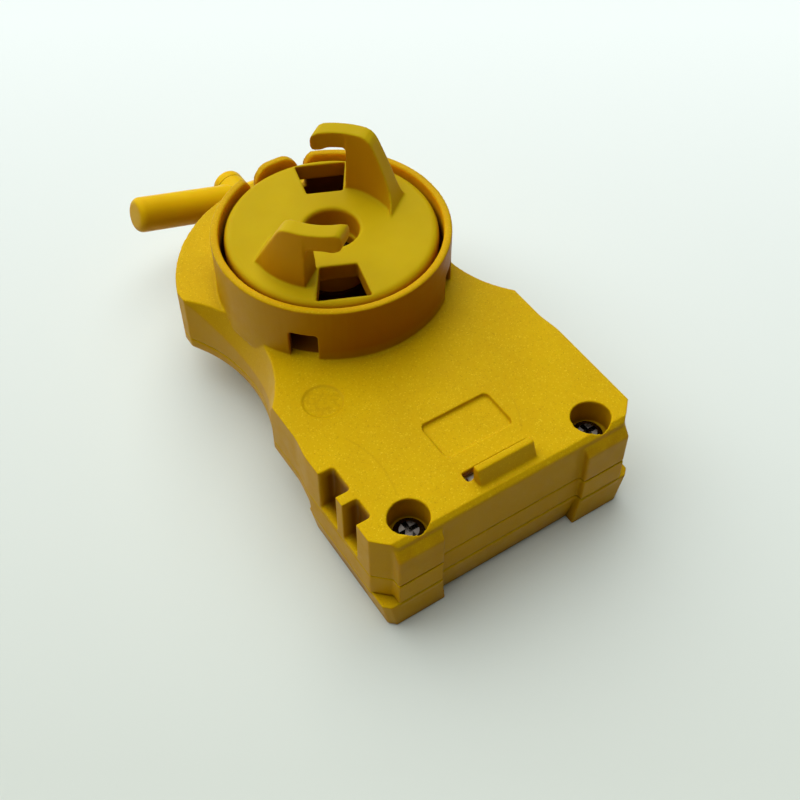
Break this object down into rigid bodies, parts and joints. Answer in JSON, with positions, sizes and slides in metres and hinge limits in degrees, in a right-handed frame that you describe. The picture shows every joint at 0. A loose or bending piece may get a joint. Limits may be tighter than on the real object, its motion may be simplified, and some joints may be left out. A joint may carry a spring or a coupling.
{
  "type": "spinning top launcher",
  "caption": "Hand-held spinning top launcher: waisted yellow case, round collar with a hooked chuck, and a T-handle on a pull cord that spins the chuck through gears.",
  "frame": {"origin": "on the chuck's axis, at the flat outside of the back cover", "axes": "+Z out of the chuck, +Y towards the pull handle, +X to the right of that"},
  "size_m": [0.0556, 0.1071, 0.0485],
  "materials": {
    "case_plastic": "semi-gloss golden yellow with fine metal flake",
    "chuck_plastic": "matte mustard yellow",
    "handle_plastic": "smooth warm yellow",
    "screw_steel": "dark zinc plating",
    "shaft_steel": "ground",
    "spring_steel": "drawn wire and strip",
    "bush_brass": "turned",
    "gear_plastic": "self-lubricating moulding",
    "reel_plastic": "plain moulding",
    "pull_cord": "braided"
  },
  "bodies": {
    "case": {"chuck_case": "case_plastic", "middle_frame": "case_plastic", "back_cover": "case_plastic", "rear_case_screws": "screw_steel", "front_case_screws": "screw_steel", "upper_bush": "bush_brass", "lower_bush": "bush_brass", "idler_pin": "shaft_steel", "reel_axle": "shaft_steel", "cord_eyelet": "case_plastic"},
    "chuck": {"chuck_disc": "chuck_plastic", "chuck_screw": "screw_steel", "chuck_washer": "screw_steel", "thrust_washer": "gear_plastic", "spindle": "shaft_steel", "spring_seat": "shaft_steel", "clutch_spring": "spring_steel"},
    "pinion": {"drive_pinion": "gear_plastic"},
    "clutch": {"clutch_dog": "shaft_steel"},
    "idler": {"idler_gear": "gear_plastic"},
    "reel": {"reel_gear": "gear_plastic", "string_reel": "reel_plastic", "spring_cover": "gear_plastic", "cord_winding": "pull_cord", "rewind_spring": "spring_steel"},
    "cord_end": {"cord_lead": "pull_cord", "cord_knot": "pull_cord"},
    "handle": {"pull_handle": "handle_plastic", "handle_cap": "handle_plastic"}
  },
  "joints": [
    {"name": "chuck_spin", "type": "hinge", "parent": "case", "child": "chuck", "pos_m": [0, 0, 0], "axis": [0, 0, 1], "range_deg": [0, 7520]},
    {"name": "pinion_spin", "type": "hinge", "parent": "case", "child": "pinion", "pos_m": [0, 0, 0], "axis": [0, 0, 1], "range_deg": [0, 7525]},
    {"name": "idler_spin", "type": "hinge", "parent": "case", "child": "idler", "pos_m": [0, -0.0128, 0], "axis": [0, 0, 1], "range_deg": [-4515, 0]},
    {"name": "reel_spin", "type": "hinge", "parent": "case", "child": "reel", "pos_m": [0, -0.0376, 0], "axis": [0, 0, 1], "range_deg": [0, 2150], "stiffness_Nm_per_rad": 0.0002, "springref_deg": -1718.87, "deforming": ["rewind_spring"]},
    {"name": "cord_pull", "type": "slide", "parent": "case", "child": "cord_end", "axis": [0, 1, 0], "range_m": [0, 0.4502], "deforming": ["cord_lead"]},
    {"name": "handle_swivel", "type": "hinge", "parent": "cord_end", "child": "handle", "pos_m": [0, 0.0401, 0.0129], "axis": [0, 1, 0], "continuous": true},
    {"name": "clutch_lift", "type": "slide", "parent": "chuck", "child": "clutch", "axis": [0, 0, -1], "range_m": [0, 0.0012], "stiffness_N_per_m": 5, "springref_m": -0.002, "deforming": ["clutch_spring"]}
  ],
  "couplings": [
    {"joint": "pinion_spin", "follows": "chuck_spin", "ratio": 1},
    {"joint": "idler_spin", "follows": "chuck_spin", "ratio": -0.6},
    {"joint": "reel_spin", "follows": "chuck_spin", "ratio": 0.28571},
    {"joint": "cord_pull", "follows": "chuck_spin", "m_per_rad": 0.0034286}
  ]
}
